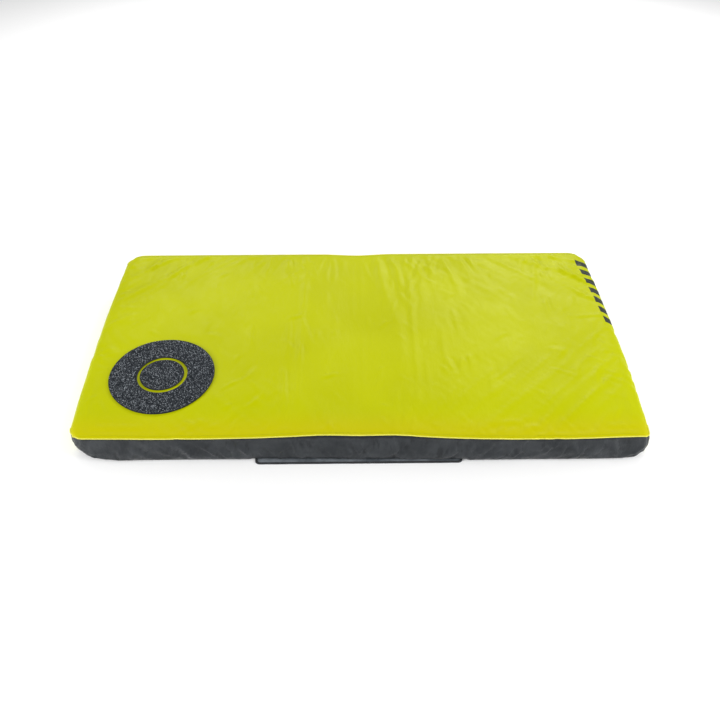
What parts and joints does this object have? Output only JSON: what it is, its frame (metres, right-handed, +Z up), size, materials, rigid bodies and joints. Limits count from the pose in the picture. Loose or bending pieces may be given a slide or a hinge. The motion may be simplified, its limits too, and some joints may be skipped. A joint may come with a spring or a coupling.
{
  "type": "folding crash pad",
  "caption": "Small folding foam landing pad with a nylon cover, a round shoe-wiping carpet patch, an underside flap, carry handles and zips.",
  "frame": {"origin": "on the floor under the middle of the open pad's bounding box, on the line of the fold", "axes": "+X along the pad's long side to the right half, +Y from the front edge with the flap's lip to the back wall with the handles, +Z up; the pad lies open at rest"},
  "size_m": [1.14, 0.6353, 0.0673],
  "materials": {
    "top_nylon": "satin",
    "side_nylon": "satin",
    "base_nylon": "matte",
    "carpet": "matte",
    "soft_foam": "matte",
    "firm_foam": "matte",
    "webbing": "matte",
    "hook_and_loop": "matte",
    "zip_tape": "matte",
    "zip_metal": "satin"
  },
  "bodies": {
    "right_half": {"foam_core_right": "soft_foam", "firm_foam_right": "firm_foam", "top_cover_right": "top_nylon", "base_cover_right": "base_nylon", "front_wall_right": "side_nylon", "back_wall_right": "side_nylon", "handle_anchor_right_inner": "webbing", "handle_anchor_right_outer": "webbing", "zip_tape_right": "zip_tape"},
    "left_half": {"foam_core_left": "soft_foam", "firm_foam_left": "firm_foam", "top_cover_left": "top_nylon", "base_cover_left": "base_nylon", "front_wall_left": "side_nylon", "back_wall_left": "side_nylon", "handle_anchor_left_inner": "webbing", "handle_anchor_left_outer": "webbing", "zip_tape_left": "zip_tape", "carpet_ring": "carpet", "carpet_disc": "carpet", "base_loop_tape": "hook_and_loop"},
    "flap": {"under_flap": "side_nylon", "flap_hook_tape": "hook_and_loop"},
    "handle_right": {"handle_right": "webbing"},
    "handle_left": {"handle_left": "webbing"},
    "zip_slider_right": {"zip_slider_right": "zip_metal"},
    "zip_slider_left": {"zip_slider_left": "zip_metal"},
    "zip_puller_right": {"zip_puller_right": "zip_metal"},
    "zip_puller_left": {"zip_puller_left": "zip_metal"}
  },
  "joints": [
    {"name": "fold", "type": "hinge", "parent": "right_half", "child": "left_half", "pos_m": [0, -0.0056, 0.0634], "axis": [0, 1, 0], "range_deg": [0, 172]},
    {"name": "flap_peel", "type": "hinge", "parent": "right_half", "child": "flap", "pos_m": [0.2085, -0.2426, 0], "axis": [0, 1, 0], "range_deg": [-170, 0]},
    {"name": "handle_right_swing", "type": "hinge", "parent": "right_half", "child": "handle_right", "pos_m": [0.285, 0.2947, 0.0585], "axis": [1, 0, 0], "range_deg": [0, 90]},
    {"name": "handle_left_swing", "type": "hinge", "parent": "left_half", "child": "handle_left", "pos_m": [-0.285, 0.2947, 0.0585], "axis": [1, 0, 0], "range_deg": [0, 90]},
    {"name": "zip_right_slide", "type": "slide", "parent": "right_half", "child": "zip_slider_right", "axis": [1, 0, 0], "range_m": [-0.46, 0]},
    {"name": "zip_left_slide", "type": "slide", "parent": "left_half", "child": "zip_slider_left", "axis": [1, 0, 0], "range_m": [0, 0.46]},
    {"name": "zip_puller_right_swing", "type": "hinge", "parent": "zip_slider_right", "child": "zip_puller_right", "pos_m": [0.52, 0.30088, 0.0255], "axis": [1, 0, 0], "range_deg": [0, 150]},
    {"name": "zip_puller_left_swing", "type": "hinge", "parent": "zip_slider_left", "child": "zip_puller_left", "pos_m": [-0.52, 0.30088, 0.0255], "axis": [1, 0, 0], "range_deg": [0, 150]}
  ]
}
